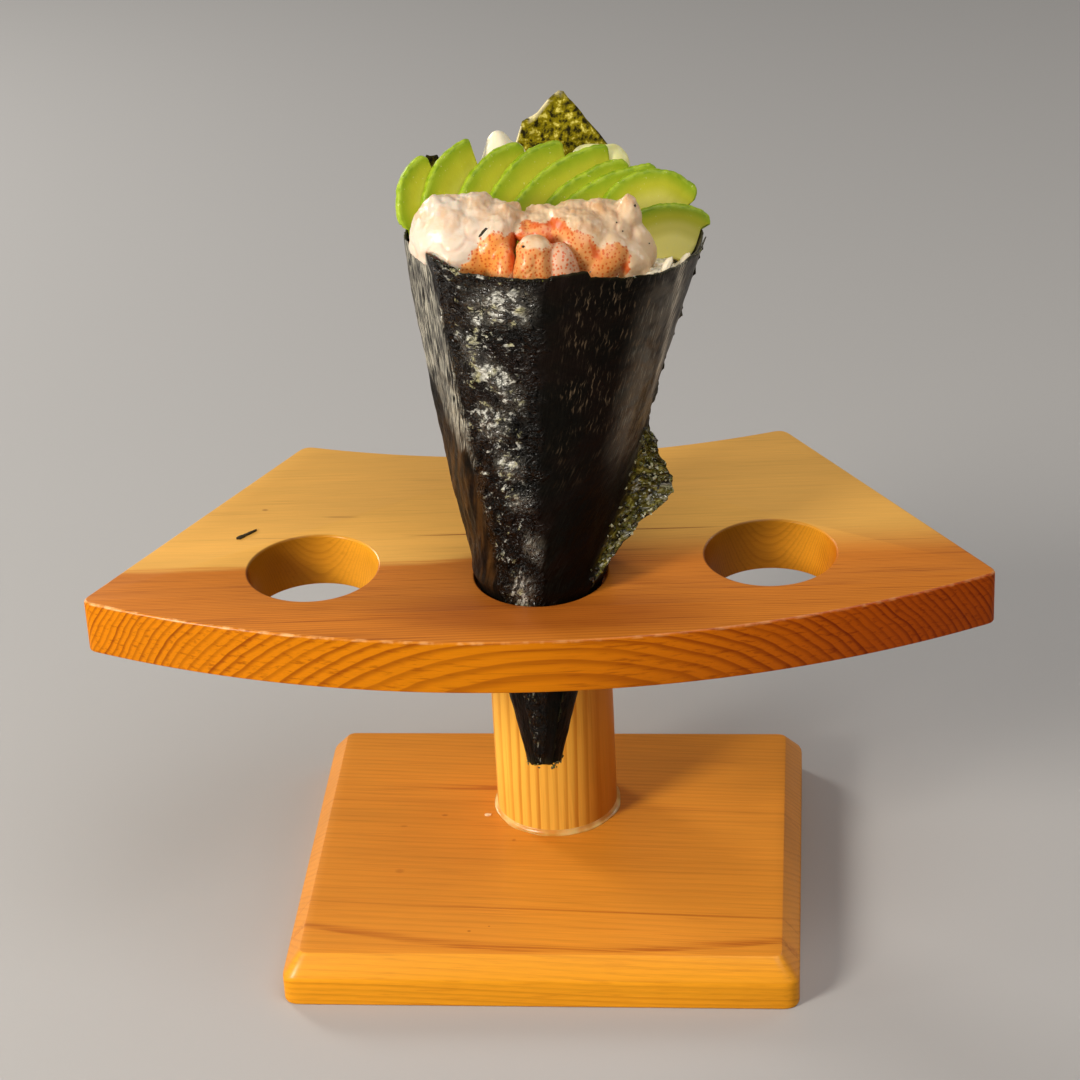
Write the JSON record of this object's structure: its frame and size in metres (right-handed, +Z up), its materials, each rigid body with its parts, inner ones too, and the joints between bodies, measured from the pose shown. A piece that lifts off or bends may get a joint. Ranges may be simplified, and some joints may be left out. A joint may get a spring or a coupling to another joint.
{
  "type": "temaki hand roll",
  "caption": "Seaweed cone filled with rice, shrimp, avocado slices and cream cheese, standing in a varnished wooden holder with spare holes.",
  "frame": {"origin": "under the middle of the holder's base, on the surface it stands on", "axes": "+Z up, the base's long side along X, the roll and the plate's long curved edge towards -Y"},
  "size_m": [0.2603, 0.1304, 0.251],
  "materials": {
    "pine": "clear varnished softwood, warm honey colour with darker growth lines",
    "seaweed": "dry pressed seaweed, glossy on the ridges, thin enough to glow olive where light comes through",
    "rice": "moist cooked grains",
    "avocado": "ripe flesh, green at the rounded back and yellow inside",
    "shrimp": "moist cooked flesh, white with orange dotted skin",
    "cream": "soft cheese, smooth with broken peaks"
  },
  "bodies": {
    "root": {"stand_base": "pine", "stand_post": "pine", "stand_plate": "pine", "nori": "seaweed", "rice": "rice", "shrimp_left": "shrimp", "shrimp_right": "shrimp", "shrimp_centre": "shrimp", "cream_cheese_left": "cream", "cream_cheese_right": "cream", "avocado_slice_1": "avocado", "avocado_slice_2": "avocado", "avocado_slice_3": "avocado", "avocado_slice_4": "avocado", "avocado_slice_5": "avocado", "avocado_slice_6": "avocado", "avocado_slice_7": "avocado", "avocado_slice_8": "avocado", "avocado_slice_9": "avocado"}
  },
  "joints": []
}
